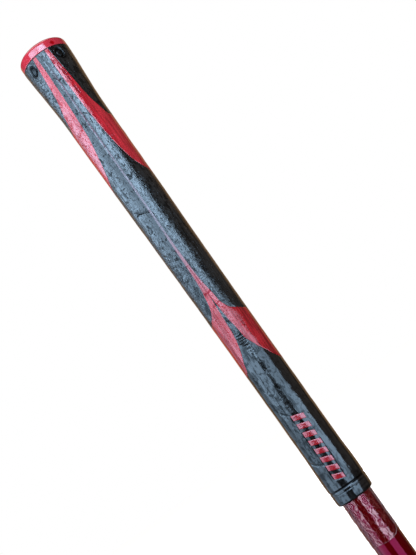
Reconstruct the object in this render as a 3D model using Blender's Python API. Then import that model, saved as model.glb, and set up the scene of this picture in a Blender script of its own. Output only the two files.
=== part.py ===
"""A golf grip with its end cap, fitted over tape on the butt of a club shaft.

+Z runs up the shaft towards the cap, and the front of the grip, with the emblem, faces -Y.
The origin is the centre of the shaft's cut lower end. Heights in the tables below are
millimetres above the mouth of the grip, and angles are degrees round the grip from its front,
positive towards +X.
"""
import math

import bmesh
import bpy
import numpy as np
from mathutils import Vector

MM = 0.001

# Driving dimensions, in millimetres.
STUB_LENGTH = 45.0            # shaft that stands out below the mouth of the grip
GRIP_LENGTH = 267.0           # mouth to the top of the cap, 10.5 inches
SHAFT_DIAMETER = 15.2         # butt of a 0.600 inch shaft
SHAFT_WALL = 1.3
TAPE_THICKNESS = 0.2
TAPE_PLAY = 0.15              # between the tape and its neighbours
TAPE_TAIL = 23.3              # tape that shows below the mouth
TAPE_SEAM_ANGLE = 67.0        # middle of the gap where the tape's long edges almost meet
TAPE_SEAM_WIDTH = 10.0        # degrees
TAPE_CORNER = 5.0             # rounding of the two corners that show
CAP_DIAMETER = 26.4
CAP_BAND = 6.7                # visible height of the cap
CAP_CROWN_HEIGHT = 3.6        # its domed part, above an upright rim
CAP_CROWN_WIDTH = 7.6
CAP_DISH_RADIUS = 3.4         # shallow dish round the vent hole
CAP_DISH_DEPTH = 0.5
CAP_PLUG_DEPTH = 3.4          # plug that enters the bore
VENT_DIAMETER = 3.0
LIP_RADIUS = 1.1              # rounding of the mouth
GROOVE_HEIGHT = 7.1           # ring groove above the mouth
GROOVE_WIDTH = 1.5
GROOVE_DEPTH = 0.3
GAP = 0.3                     # kept between touching pieces
CUTTER_LIFT = 0.4             # how far a pocket's cutter stands out of the grip
FLAME_DEPTH = 0.6
EMBLEM_DEPTH = 0.5
EMBLEM_TOP = 46.8             # height of the first bar's upper left corner
EMBLEM_BARS = 8
EMBLEM_PITCH = 4.55
EMBLEM_BAR_HEIGHT = 2.75
EMBLEM_LEFT = -22.0           # degrees
EMBLEM_RIGHT = 15.0           # degrees, at the first bar
EMBLEM_RIGHT_STEP = -1.0      # degrees, from one bar to the next
EMBLEM_SLANT = 1.85           # how much lower a bar's right end is than its left end
EMBLEM_COLUMNS = 3

# Facets round the turned pieces, and how finely a curve is cut.
SEGMENTS = 48
STEPS_PER_STATION = 2
STRIP_COLUMNS = 4
CORNER_STEPS = 4
CROWN_STEPS = 8

# The sleeve's outside: height and diameter.
SLEEVE_PROFILE = (
    (0.0, 19.0), (6.0, 19.35), (12.0, 19.75), (19.0, 19.5), (27.0, 19.2), (44.0, 19.15),
    (62.0, 19.3), (92.0, 19.5), (112.0, 19.85), (133.0, 20.35), (153.0, 20.75), (171.0, 21.4),
    (190.0, 21.8), (205.0, 22.05), (225.0, 22.45), (233.0, 23.05), (242.5, 24.2), (252.0, 25.5),
    (260.0, 26.4),
)

# Outlines of the flames. A row is one station along a band: the height and angle of its upper
# edge, then the height and angle of its lower edge. The angles run on round the grip.
UPPER_FLAME = (
    (260.0, -23.8, 260.0, -14.2), (248.4, -30.1, 247.8, -15.1), (236.2, -39.0, 232.9, -19.2),
    (229.0, -52.5, 218.9, -23.8), (224.6, -59.9, 210.0, -27.7), (220.8, -68.9, 198.6, -40.3),
    (217.3, -88.0, 190.6, -54.5), (211.1, -125.0, 182.5, -85.0), (203.9, -155.0, 172.3, -125.0),
    (196.8, -185.0, 160.2, -185.0),
    (203.9, -212.0, 172.3, -240.0), (211.1, -240.0, 180.7, -279.4), (216.5, -280.0, 187.3, -316.3),
    (218.3, -301.2, 196.0, -332.6), (223.2, -312.1, 206.6, -341.7), (229.9, -323.8, 220.1, -347.4),
    (238.6, -330.6, 232.9, -350.5), (249.8, -337.5, 247.2, -352.1), (260.0, -342.5, 260.0, -351.7),
)
LOWER_FLAME = (
    (116.8, -10.0, 112.0, -9.4),
    (116.8, 0.0, 101.0, -5.2), (109.4, 5.5, 94.2, 0.0), (105.0, 17.0, 88.3, 4.0),
    (103.1, 30.1, 83.5, 15.0), (101.3, 52.3, 78.6, 31.1), (100.0, 80.0, 73.4, 56.3),
    (95.5, 120.0, 69.2, 95.0), (88.7, 152.0, 62.4, 135.0),
    (80.9, 172.0, 49.8, 172.0),
    (88.7, 195.0, 62.4, 215.0), (95.5, 225.0, 70.2, 260.0), (101.0, 268.0, 74.4, 301.6),
    (102.4, 291.1, 78.7, 314.8), (103.7, 304.6, 83.5, 328.9), (106.1, 319.8, 88.3, 337.4),
    (109.9, 330.9, 94.2, 343.4), (116.8, 339.4, 101.0, 345.6),
)
# The stem of the lower flame: height, left angle and right angle. It ends on the flame's edge.
STEM = (
    (201.0, -7.8, -5.2), (172.6, -9.5, -5.0), (155.5, -11.7, -6.1), (141.5, -13.8, -7.0),
    (124.2, -16.5, -4.8),
)

CAP_UNDERSIDE = GRIP_LENGTH - CAP_BAND
SLEEVE_TOP = CAP_UNDERSIDE - GAP
SHAFT_RADIUS = SHAFT_DIAMETER / 2
TAPE_RADIUS = SHAFT_RADIUS + TAPE_PLAY
BORE_RADIUS = TAPE_RADIUS + TAPE_THICKNESS + TAPE_PLAY
PLUG_RADIUS = BORE_RADIUS - GAP
PLUG_BOTTOM = CAP_UNDERSIDE - CAP_PLUG_DEPTH
SHAFT_TOP = PLUG_BOTTOM - GAP
TAPE_TOP = SHAFT_TOP - 1.0


def smooth_through(stations, steps, closed=False):
    """Points on a Catmull-Rom curve through the stations, with the stations among them."""
    points = np.array(stations, dtype=float)
    if closed:
        turn = np.array([0.0, 360.0, 0.0, 360.0])
        padded = np.vstack([points[-1] - turn, points, points[0] + turn, points[1] + turn])
    else:
        padded = np.vstack([2 * points[0] - points[1], points, 2 * points[-1] - points[-2]])
    curve = []
    for k in range(len(padded) - 3):
        a, b, c, d = padded[k:k + 4]
        for t in np.arange(steps) / steps:
            slope = c - a
            bend = 2 * a - 5 * b + 4 * c - d
            twist = 3 * (b - c) + d - a
            curve.append(b + 0.5 * t * (slope + t * (bend + t * twist)))
    if not closed:
        curve.append(points[-1])
    return np.array(curve)


SLEEVE_OUTLINE = smooth_through(SLEEVE_PROFILE, STEPS_PER_STATION)


def radius_at(height):
    """Outside radius of the sleeve, in millimetres."""
    return float(np.interp(height, SLEEVE_OUTLINE[:, 0], SLEEVE_OUTLINE[:, 1])) / 2


def point_at(radius, height, angle):
    """The point, in metres, at a radius, a height above the mouth and an angle from the front."""
    turn = math.radians(angle)
    return Vector((radius * math.sin(turn), -radius * math.cos(turn), STUB_LENGTH + height)) * MM


def make_material(name, colour, roughness, metallic=0.0):
    material = bpy.data.materials.new(name)
    material.use_nodes = True
    shader = material.node_tree.nodes["Principled BSDF"]
    shader.inputs["Base Color"].default_value = (*colour, 1.0)
    shader.inputs["Roughness"].default_value = roughness
    shader.inputs["Metallic"].default_value = metallic
    material.diffuse_color = (*colour, 1.0)
    return material


def add_object(name, mesh, material=None):
    mesh.name = name
    obj = bpy.data.objects.new(name, mesh)
    bpy.context.collection.objects.link(obj)
    if material:
        mesh.materials.append(material)
        mesh.shade_smooth()
        mesh.set_sharp_from_angle(angle=math.radians(35.0))
    return obj


def arc(centre, width, height, start, end, steps=CORNER_STEPS):
    """Profile points on an ellipse's arc, from a start angle to an end angle in degrees."""
    turns = np.radians(np.linspace(start, end, steps + 1))
    return [(centre[0] + width * math.cos(t), centre[1] + height * math.sin(t)) for t in turns]


def turned(name, profile, material):
    """A ring turned about Z from a closed profile of (radius, height), its outside running down."""
    bm = bmesh.new()
    corners = [bm.verts.new(point_at(radius, height, 90.0)) for radius, height in profile]
    for k, corner in enumerate(corners):
        bm.edges.new((corners[k - 1], corner))
    mesh = bpy.data.meshes.new(name)
    bm.to_mesh(mesh)
    bm.free()
    obj = add_object(name, mesh, material)
    screw = obj.modifiers.new("Turn", "SCREW")
    screw.axis = "Z"
    screw.angle = math.tau
    screw.steps = SEGMENTS
    screw.render_steps = SEGMENTS
    screw.use_smooth_shade = True
    screw.use_merge_vertices = True
    screw.merge_threshold = 0.00001
    return obj


def sheet(rows, closed=False, stem_rows=()):
    """A sheet through rows of points over the grip, facing outwards.

    A stem is a second sheet, whose last row is the upper edge of the first one's middle.
    """
    bm = bmesh.new()
    grid = [[bm.verts.new(point) for point in row] for row in rows]
    pairs = list(zip(grid, grid[1:]))
    if closed:
        pairs.append((grid[-1], grid[0]))
    if stem_rows:
        half = len(stem_rows[0]) // 2
        stem = [[bm.verts.new(point) for point in row] for row in stem_rows]
        stem.append([grid[k][0] for k in range(-half, half + 1)])
        pairs += zip(stem, stem[1:])
    for first, second in pairs:
        for k in range(len(first) - 1):
            bm.faces.new((first[k], first[k + 1], second[k + 1], second[k]))
    bmesh.ops.recalc_face_normals(bm, faces=bm.faces)
    face = next(iter(bm.faces))
    if face.normal.dot(Vector((*face.calc_center_median().xy, 0.0))) < 0.0:
        bmesh.ops.reverse_faces(bm, faces=bm.faces)
    mesh = bpy.data.meshes.new("sheet")
    bm.to_mesh(mesh)
    bm.free()
    return mesh


def band_rows(stations, columns):
    """Rows of points ruled between the upper and the lower edge that the stations give."""
    rows = []
    for station in stations:
        upper, lower = station[:2], station[2:]
        row = []
        for share in np.arange(columns + 1) / columns:
            height, angle = upper + (lower - upper) * share
            row.append(point_at(radius_at(height), height, angle))
        rows.append(row)
    return rows


def add_depth(obj, depth):
    solidify = obj.modifiers.new("Depth", "SOLIDIFY")
    solidify.thickness = depth * MM
    solidify.offset = -1.0
    solidify.use_even_offset = True


def add_swell(obj, name, distance):
    swell = obj.modifiers.new(name, "DISPLACE")
    swell.mid_level = 0.0
    swell.strength = distance * MM


def let_in(name, mesh, depth, material, host):
    """A solid let into the host: the mesh is its outside, and its pocket leaves a gap round it."""
    inlay = add_object(name, mesh, material)
    add_depth(inlay, depth)
    cutter = add_object(name + "_pocket", mesh.copy())
    cutter.hide_render = True
    cutter.display_type = "WIRE"
    add_swell(cutter, "Clear of the surface", CUTTER_LIFT)
    add_depth(cutter, depth + CUTTER_LIFT)
    add_swell(cutter, "Gap", GAP * math.sqrt(2.0))
    cut = host.modifiers.new(cutter.name, "BOOLEAN")
    cut.operation = "DIFFERENCE"
    cut.solver = "EXACT"
    cut.object = cutter
    return inlay


def build_shaft(material):
    inner = SHAFT_RADIUS - SHAFT_WALL
    profile = [(SHAFT_RADIUS, SHAFT_TOP), (SHAFT_RADIUS, -STUB_LENGTH)]
    profile += [(inner, -STUB_LENGTH), (inner, SHAFT_TOP)]
    turned("shaft_butt", profile, material)


def build_tape(material):
    """The tape wraps the shaft lengthwise, and its long edges leave a narrow seam."""
    bm = bmesh.new()
    seam_edge = TAPE_SEAM_ANGLE + TAPE_SEAM_WIDTH / 2
    outer = TAPE_RADIUS + TAPE_THICKNESS
    span = 360.0 - TAPE_SEAM_WIDTH
    sections = []
    for share in np.linspace(0.0, 1.0, SEGMENTS):
        from_seam = min(share, 1.0 - share) * math.radians(span) * outer
        short = max(TAPE_CORNER - from_seam, 0.0)
        bottom = TAPE_CORNER - math.sqrt(TAPE_CORNER ** 2 - short ** 2) - TAPE_TAIL
        corners = [(outer, TAPE_TOP), (outer, bottom), (TAPE_RADIUS, bottom), (TAPE_RADIUS, TAPE_TOP)]
        angle = seam_edge + share * span
        sections.append([bm.verts.new(point_at(radius, height, angle)) for radius, height in corners])
    for first, second in zip(sections, sections[1:]):
        for k in range(len(first)):
            bm.faces.new((first[k - 1], first[k], second[k], second[k - 1]))
    bm.faces.new(sections[0])
    bm.faces.new(sections[-1])
    bmesh.ops.recalc_face_normals(bm, faces=bm.faces)
    mesh = bpy.data.meshes.new("grip_tape")
    bm.to_mesh(mesh)
    bm.free()
    add_object("grip_tape", mesh, material)


def build_sleeve(material):
    """The flared elastomer sleeve, with its ring groove, its rounded mouth and its straight bore."""
    groove_top = GROOVE_HEIGHT + GROOVE_WIDTH / 2
    groove_bottom = GROOVE_HEIGHT - GROOVE_WIDTH / 2
    above = SLEEVE_OUTLINE[SLEEVE_OUTLINE[:, 0] > groove_top][::-1]
    profile = [(diameter / 2, height) for height, diameter in above]
    profile.append((radius_at(groove_top), groove_top))
    profile.append((radius_at(GROOVE_HEIGHT) - GROOVE_DEPTH, GROOVE_HEIGHT))
    profile.append((radius_at(groove_bottom), groove_bottom))
    lip = (radius_at(0.0) - LIP_RADIUS, LIP_RADIUS)
    profile += arc(lip, LIP_RADIUS, LIP_RADIUS, 0.0, -90.0)
    profile += [(BORE_RADIUS, 0.0), (BORE_RADIUS, SLEEVE_TOP)]
    return turned("grip_sleeve", profile, material)


def build_flames(material, sleeve):
    upper = smooth_through(UPPER_FLAME, STEPS_PER_STATION)
    let_in("upper_flame", sheet(band_rows(upper, STRIP_COLUMNS)), FLAME_DEPTH, material, sleeve)

    lower = smooth_through(LOWER_FLAME, STEPS_PER_STATION, closed=True)
    stem_rows = []
    for height, left, right in STEM:
        angles = np.linspace(left, right, 2 * STEPS_PER_STATION + 1)
        stem_rows.append([point_at(radius_at(height), height, angle) for angle in angles])
    mesh = sheet(band_rows(lower, STRIP_COLUMNS), closed=True, stem_rows=stem_rows)
    let_in("lower_flame", mesh, FLAME_DEPTH, material, sleeve)


def build_emblem(material, sleeve):
    """Slanted paint-filled bars, one below the other, each a little shorter than the last."""
    for number in range(EMBLEM_BARS):
        left_height = EMBLEM_TOP - number * EMBLEM_PITCH
        right = EMBLEM_RIGHT + number * EMBLEM_RIGHT_STEP
        stations = []
        for share in np.arange(EMBLEM_COLUMNS + 1) / EMBLEM_COLUMNS:
            height = left_height - share * EMBLEM_SLANT
            angle = EMBLEM_LEFT + share * (right - EMBLEM_LEFT)
            stations.append((height, angle, height - EMBLEM_BAR_HEIGHT, angle))
        mesh = sheet(band_rows(np.array(stations), 1))
        let_in(f"emblem_bar_{number + 1}", mesh, EMBLEM_DEPTH, material, sleeve)


def build_cap(material):
    """The hard cap: an upright rim, a domed top with a dished vent hole, and a plug for the bore."""
    radius = CAP_DIAMETER / 2
    vent = VENT_DIAMETER / 2
    crown = (radius - CAP_CROWN_WIDTH, GRIP_LENGTH - CAP_CROWN_HEIGHT)
    profile = [(vent, GRIP_LENGTH - CAP_DISH_DEPTH)]
    profile.append((CAP_DISH_RADIUS - CAP_DISH_DEPTH, GRIP_LENGTH - CAP_DISH_DEPTH))
    profile.append((CAP_DISH_RADIUS, GRIP_LENGTH))
    profile += arc(crown, CAP_CROWN_WIDTH, CAP_CROWN_HEIGHT, 90.0, 0.0, CROWN_STEPS)
    profile += [(radius, CAP_UNDERSIDE), (PLUG_RADIUS, CAP_UNDERSIDE)]
    profile += [(PLUG_RADIUS, PLUG_BOTTOM), (vent, PLUG_BOTTOM)]
    turned("end_cap", profile, material)


def main():
    for obj in list(bpy.data.objects):
        bpy.data.objects.remove(obj, do_unlink=True)
    black = make_material("black_elastomer", (0.02, 0.021, 0.023), 0.42)
    red = make_material("red_elastomer", (0.42, 0.012, 0.022), 0.42)
    build_shaft(make_material("red_shaft_lacquer", (0.11, 0.0, 0.006), 0.12))
    build_tape(make_material("tape_film", (0.42, 0.2, 0.24), 0.35))
    sleeve = build_sleeve(black)
    build_flames(red, sleeve)
    build_emblem(make_material("emblem_paint", (0.5, 0.014, 0.02), 0.35), sleeve)
    build_cap(make_material("red_cap_plastic", (0.5, 0.015, 0.03), 0.28))


main()
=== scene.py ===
"""Looks for the golf grip: a worn black elastomer sleeve with red flames, on a taped shaft.

Everything is in metres in the CAD's frame: +Z up the shaft towards the cap, and the front of the
grip towards -Y. Heights in the tables are millimetres above the mouth of the grip, and angles are
degrees round the grip from its front, positive towards +X.
"""
import math

import bpy
import numpy as np
from mathutils import Matrix, Vector, kdtree


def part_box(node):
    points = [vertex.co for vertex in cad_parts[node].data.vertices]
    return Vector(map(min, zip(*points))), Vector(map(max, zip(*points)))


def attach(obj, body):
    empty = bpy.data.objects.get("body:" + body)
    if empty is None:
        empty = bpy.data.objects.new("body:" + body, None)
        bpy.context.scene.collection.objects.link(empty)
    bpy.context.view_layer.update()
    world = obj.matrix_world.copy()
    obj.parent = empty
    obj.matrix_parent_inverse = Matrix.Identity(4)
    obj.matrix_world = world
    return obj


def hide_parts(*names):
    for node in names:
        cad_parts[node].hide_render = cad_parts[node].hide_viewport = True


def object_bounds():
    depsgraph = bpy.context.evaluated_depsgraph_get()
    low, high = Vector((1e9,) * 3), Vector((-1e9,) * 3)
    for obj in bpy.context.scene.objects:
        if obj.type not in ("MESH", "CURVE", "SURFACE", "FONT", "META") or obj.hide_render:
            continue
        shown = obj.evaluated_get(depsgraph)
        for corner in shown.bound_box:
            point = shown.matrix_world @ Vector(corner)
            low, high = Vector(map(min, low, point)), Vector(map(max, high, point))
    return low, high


MM = 0.001
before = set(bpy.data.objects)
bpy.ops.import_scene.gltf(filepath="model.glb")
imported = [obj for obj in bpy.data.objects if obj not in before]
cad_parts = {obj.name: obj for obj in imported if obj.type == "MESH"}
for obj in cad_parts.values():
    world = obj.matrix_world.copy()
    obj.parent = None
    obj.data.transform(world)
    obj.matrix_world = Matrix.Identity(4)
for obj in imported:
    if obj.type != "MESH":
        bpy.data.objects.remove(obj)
CAD_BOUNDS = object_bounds()

SLEEVE_LOW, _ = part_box("grip_sleeve")
_, CAP_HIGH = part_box("end_cap")
SHAFT_LOW, SHAFT_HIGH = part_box("shaft_butt")
TAPE_LOW, TAPE_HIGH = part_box("grip_tape")

MOUTH_Z = SLEEVE_LOW.z

# Sizes from the frame, in millimetres, with heights above the mouth.
CAP_TOP = (CAP_HIGH.z - MOUTH_Z) / MM
CAP_RADIUS = CAP_HIGH.x / MM
SHAFT_RADIUS = SHAFT_HIGH.x / MM
SHAFT_BOTTOM = (SHAFT_LOW.z - MOUTH_Z) / MM
SHAFT_TOP = (SHAFT_HIGH.z - MOUTH_Z) / MM
TAPE_RADIUS = -TAPE_LOW.x / MM
TAPE_BOTTOM = (TAPE_LOW.z - MOUTH_Z) / MM
TAPE_TOP = (TAPE_HIGH.z - MOUTH_Z) / MM

# Sizes that the frame doesn't state, in millimetres.
CAP_BAND = 6.7                # from the cap's underside to its top
CAP_UNDERSIDE = CAP_TOP - CAP_BAND
CAP_CROWN_HEIGHT = 3.6
CAP_CROWN_WIDTH = 7.6
CAP_DISH_RADIUS = 3.4
CAP_DISH_DEPTH = 0.5
CAP_DISH_SLOPE = 0.9          # width of the slope between the dish's floor and its edge
CAP_DISH_ROUNDING = 0.25
CAP_VENT_RADIUS = 1.5
CAP_PLUG_RADIUS = 7.8
CAP_PLUG_LENGTH = 3.4
CAP_EDGE_ROUNDING = 0.2
BORE_RADIUS = 8.1
LIP_RADIUS = 1.1
RIM_ROUNDING = 0.25
RIM_BELOW_CAP = 0.3           # from the cap to where the sleeve's rounded rim starts
SLEEVE_RIM = CAP_UNDERSIDE - RIM_BELOW_CAP
GROOVE_HEIGHT = 7.1
GROOVE_WIDTH = 1.5
GROOVE_DEPTH = 0.3
GROOVE_SHADE = 0.25           # depth that the material adds to the groove, to paint shade into it
GROOVE_SHADE_RISE = 3.0       # that shade is full a third of the way down the groove
FRONT_LINE_DEPTH = 0.14
FAINT_LINE_HEIGHT = 5.2
FAINT_LINE_DEPTH = 0.12
LUMP_RISE = 0.05
DIMPLE_RISE = 0.034
WRINKLE_RISE = 0.03
FLAME_PROUD = 0.03
FLAME_DEPTH = 0.33
FLAME_DIP = 0.05              # how far a flame's edge dips
FEATHER = 0.08                # thickness of a flame's thin edge
POCKET_DEPTH = 0.42
POCKET_MARGIN = 0.6
SHAFT_WALL = 1.3
SHAFT_EDGE_ROUNDING = 0.3
SHAFT_BORE_ROUNDING = 0.2

# The sleeve's outside: height and diameter.
SLEEVE_PROFILE = (
    (0.0, 19.0), (6.0, 19.35), (12.0, 19.75), (19.0, 19.5), (27.0, 19.2), (44.0, 19.15),
    (62.0, 19.3), (92.0, 19.5), (112.0, 19.85), (133.0, 20.35), (153.0, 20.75), (171.0, 21.4),
    (190.0, 21.8), (205.0, 22.05), (225.0, 22.45), (233.0, 23.05), (242.5, 24.2), (252.0, 25.5),
    (260.0, 26.4),
)

# Outlines of the flames: the height and angle of a band's upper edge, then of its lower edge.
UPPER_FLAME = (
    (260.0, -23.8, 260.0, -14.2), (248.4, -30.1, 247.8, -15.1), (236.2, -39.0, 232.9, -19.2),
    (229.0, -52.5, 218.9, -23.8), (224.6, -59.9, 210.0, -27.7), (220.8, -68.9, 198.6, -40.3),
    (217.3, -88.0, 190.6, -54.5), (211.1, -125.0, 182.5, -85.0), (203.9, -155.0, 172.3, -125.0),
    (196.8, -185.0, 160.2, -185.0),
    (203.9, -212.0, 172.3, -240.0), (211.1, -240.0, 180.7, -279.4), (216.5, -280.0, 187.3, -316.3),
    (218.3, -301.2, 196.0, -332.6), (223.2, -312.1, 206.6, -341.7), (229.9, -323.8, 220.1, -347.4),
    (238.6, -330.6, 232.9, -350.5), (249.8, -337.5, 247.2, -352.1), (260.0, -342.5, 260.0, -351.7),
)
LOWER_FLAME = (
    (116.8, -10.0, 112.0, -9.4),
    (116.8, 0.0, 101.0, -5.2), (109.4, 5.5, 94.2, 0.0), (105.0, 17.0, 88.3, 4.0),
    (103.1, 30.1, 83.5, 15.0), (101.3, 52.3, 78.6, 31.1), (100.0, 80.0, 73.4, 56.3),
    (95.5, 120.0, 69.2, 95.0), (88.7, 152.0, 62.4, 135.0),
    (80.9, 172.0, 49.8, 172.0),
    (88.7, 195.0, 62.4, 215.0), (95.5, 225.0, 70.2, 260.0), (101.0, 268.0, 74.4, 301.6),
    (102.4, 291.1, 78.7, 314.8), (103.7, 304.6, 83.5, 328.9), (106.1, 319.8, 88.3, 337.4),
    (109.9, 330.9, 94.2, 343.4), (116.8, 339.4, 101.0, 345.6),
)
# The stem of the lower flame: height, left angle and right angle.
STEM = (
    (203.5, -7.4, -4.4), (178.6, -9.3, -4.7), (163.9, -10.0, -5.0), (155.5, -11.2, -5.9),
    (141.5, -13.8, -7.0),
    (124.2, -16.5, -4.8), (116.8, -20.6, 0.0),
)

# The emblem: slanted bars, one below the other.
EMBLEM_TOP = 46.8
EMBLEM_BARS = 8
EMBLEM_PITCH = 4.55
EMBLEM_BAR_HEIGHT = 2.75
EMBLEM_LEFT = -22.0
EMBLEM_RIGHT = 15.0
EMBLEM_RIGHT_STEP = -1.0
EMBLEM_SLANT = 1.85
EMBLEM_SUNK = 0.15            # depth of the panel round the bars
EMBLEM_BAR_SUNK = 0.06        # how far the bars' tops lie below the sleeve
EMBLEM_BAR_DEPTH = 0.22
EMBLEM_BAR_DIP = 0.07         # how far a bar's edge dips
EMBLEM_BORDER = 0.35

# Cracks and creases: start height, start angle, end height, end angle, width and depth.
CRACKS = (
    (167.6, -51.0, 166.3, -38.0, 0.42, 0.3), (166.3, -38.0, 163.7, -9.1, 0.42, 0.34),
    (166.5, -46.4, 166.7, -41.3, 0.8, 0.34), (165.4, -34.0, 166.6, -27.0, 0.3, 0.2),
    (178.6, -40.8, 176.4, -38.8, 0.6, 0.3), (175.4, -41.6, 174.2, -43.0, 0.4, 0.22),
    (158.7, -40.4, 157.6, -39.9, 0.55, 0.3), (156.5, -40.0, 155.3, -39.5, 0.4, 0.2),
    (153.3, -67.7, 154.9, -36.4, 0.26, 0.14), (142.6, -61.0, 141.4, -48.0, 0.3, 0.2),
    (140.9, -50.0, 140.2, -36.3, 0.34, 0.22), (140.1, -36.3, 138.6, -20.0, 0.26, 0.14),
    (138.6, -57.0, 137.8, -44.0, 0.34, 0.22), (136.9, -50.0, 137.5, -33.0, 0.3, 0.2),
    (135.2, -58.0, 134.3, -40.0, 0.34, 0.24), (132.9, -48.0, 133.4, -34.0, 0.3, 0.2),
    (131.2, -62.0, 130.1, -46.0, 0.34, 0.22), (128.8, -44.0, 129.5, -28.0, 0.3, 0.2),
    (126.4, -58.0, 125.6, -42.0, 0.34, 0.22), (108.4, -21.1, 109.3, 3.0, 0.26, 0.14),
    (115.9, -19.0, 115.4, -9.0, 0.36, 0.2), (115.4, -9.0, 115.9, 2.0, 0.34, 0.18),
    (131.0, -11.0, 112.5, -9.5, 0.2, 0.09),
    (90.6, -14.0, 90.2, 3.0, 0.3, 0.3), (89.3, -19.0, 88.9, 5.0, 0.34, 0.36),
    (87.9, -16.0, 87.6, 4.0, 0.3, 0.3), (86.5, -17.0, 86.7, 1.0, 0.34, 0.34),
    (85.1, -13.0, 84.8, -2.0, 0.3, 0.26), (98.2, -10.0, 98.4, -4.0, 0.4, 0.24),
    (107.6, -10.5, 107.7, -3.5, 0.36, 0.2),
)
# Gouges in the flames only, written in the same way. Their material paints them as dark shade.
GOUGES = (
    (253.6, 9.4, 251.8, 10.6, 0.6, 0.16), (249.6, 14.4, 248.0, 14.8, 0.35, 0.12),
    (246.6, 18.4, 244.2, 19.4, 0.5, 0.16), (242.6, 19.6, 240.8, 20.2, 0.5, 0.14),
    (236.6, 19.4, 232.6, 21.6, 0.5, 0.12),
)
CREASES = (
    (50.3, -43.4, 47.9, -27.2, 0.5, 0.45), (47.9, -27.2, 47.0, -22.2, 0.4, 0.35),
    (23.2, -59.5, 21.6, -40.1, 0.5, 0.45), (21.6, -40.1, 20.3, -22.0, 0.45, 0.4),
)
# Sunk ovals below the cap: height and angle of the centre.
OVALS = ((255.8, 36.5), (255.5, -41.0))
OVAL_HALF_WIDTH = 1.75
OVAL_HALF_HEIGHT = 2.3
OVAL_GROOVE = 0.55
OVAL_DEPTH = 0.6
OVAL_MIDDLE = 0.55            # depth of an oval's middle, as a share of its ring's

# Mesh fineness.
SLEEVE_COLUMNS = 208
FLAME_STEPS = 22
FLAME_COLUMNS = 30
STEM_STEPS = 16
BAR_COLUMNS = 40
BAR_ROWS = 14
CAP_COLUMNS = 192
SHAFT_COLUMNS = 128
TAPE_COLUMNS = 190
TAPE_ROWS = 110

# The round gate mark on the cap's band.
GATE_HEIGHT = 261.9
GATE_ANGLE = 34.5
GATE_DEPTH = 0.18

# The film on the shaft.
TAPE_SEAM_ANGLE = 67.0
TAPE_SEAM_WIDTH = 10.0
TAPE_CORNER = 5.0
TAPE_THICKNESS = 0.15
TAPE_HIDDEN_FROM = 1.5        # height in the mouth above which the film is smooth
TAPE_BLISTER_RISE = 0.05
TAPE_CREASE_RISE = 0.06

# The camera: metres, degrees turned to radians, and a 36 mm sensor.
CAMERA_LENS = 61.04
CAMERA_DISTANCE = 0.44745
CAMERA_HEIGHT = 0.09816
CAMERA_TILT = math.radians(8.867)
CAMERA_YAW = math.radians(0.36)
CAMERA_ROLL = math.radians(-35.477)

# Upright lights: name, start and end azimuth, low and high end in metres, brightness, and then
# the distance and the colour of those that differ from the windows.
WINDOW_DISTANCE = 1.0
WINDOW_COLOUR = (0.5, 0.74, 1.0)
PANELS = (
    ("cap_window", -52.0, 30.0, 0.76, 1.0, 9.2),
    ("top_far_left_window", -128.0, -104.0, 0.53, 0.67, 3.4),
    ("top_left_window", -104.0, -50.0, 0.45, 0.67, 11.5),
    ("top_window", -50.0, -6.0, 0.45, 0.76, 5.9),
    ("top_right_window", -6.0, 29.0, 0.45, 0.76, 16.5),
    ("upper_left_window", -104.0, -50.0, 0.33, 0.45, 8.0),
    ("upper_window", -50.0, -6.0, 0.33, 0.45, 6.8),
    ("upper_right_window", -6.0, 31.0, 0.33, 0.45, 12.0),
    ("inner_left_window", -104.0, -50.0, 0.24, 0.33, 2.1),
    ("inner_window", -50.0, -6.0, 0.24, 0.33, 5.4),
    ("spear_window", -19.0, 1.0, 0.2, 0.24, 19.0),
    ("gap_fill", -19.0, 6.0, 0.08, 0.17, 0.45),
    ("inner_right_window", -6.0, 28.0, 0.24, 0.33, 8.4),
    ("far_left_window", -128.0, -92.0, -0.6, 0.53, 1.5),
    ("middle_left_window", -92.0, -59.0, 0.09, 0.24, 6.8),
    ("middle_window", -54.0, -19.0, 0.09, 0.24, 6.8),
    ("middle_right_window", 6.5, 52.0, 0.09, 0.24, 5.2),
    ("emblem_left_window", -92.0, -29.0, -0.02, 0.09, 3.5),
    ("emblem_right_window", 3.0, 60.0, -0.02, 0.09, 7.3),
    ("lower_left_window", -92.0, -38.0, -0.6, -0.02, 4.6),
    ("lower_right_window", 3.0, 51.0, -0.6, -0.02, 6.0),
    ("right_fill", 50.0, 112.0, -0.12, 0.7, 0.21, 1.0, (1.0, 0.88, 0.82)),
    ("back_glow", 125.0, 235.0, -0.4, 0.9, 0.45, 0.9, (1.0, 0.6, 0.3)),
)

# The light overhead, the room and the floor, in metres.
OVERHEAD_BRIGHTNESS = 1.7
OVERHEAD_COLOUR = (1.0, 0.97, 0.93)
OVERHEAD_SIZE = 1.2
OVERHEAD_PLACE = (0.0, 0.1, 1.7)
ROOM_COLOUR = (0.09, 0.06, 0.04)
FLOOR_HALF_SIZE = 4.0
FLOOR_GAP = 0.0002
FLOOR_GLOW = 0.95

# Heights, in millimetres above the mouth, between which the noise is laid out.
NOISE_BOTTOM = -60.0
NOISE_TOP = 300.0


def smoothstep(low, high, value):
    """A smooth step from 0 at low to 1 at high, where low may be above high."""
    share = np.clip((value - low) / (high - low), 0.0, 1.0)
    return share * share * (3.0 - 2.0 * share)


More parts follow.
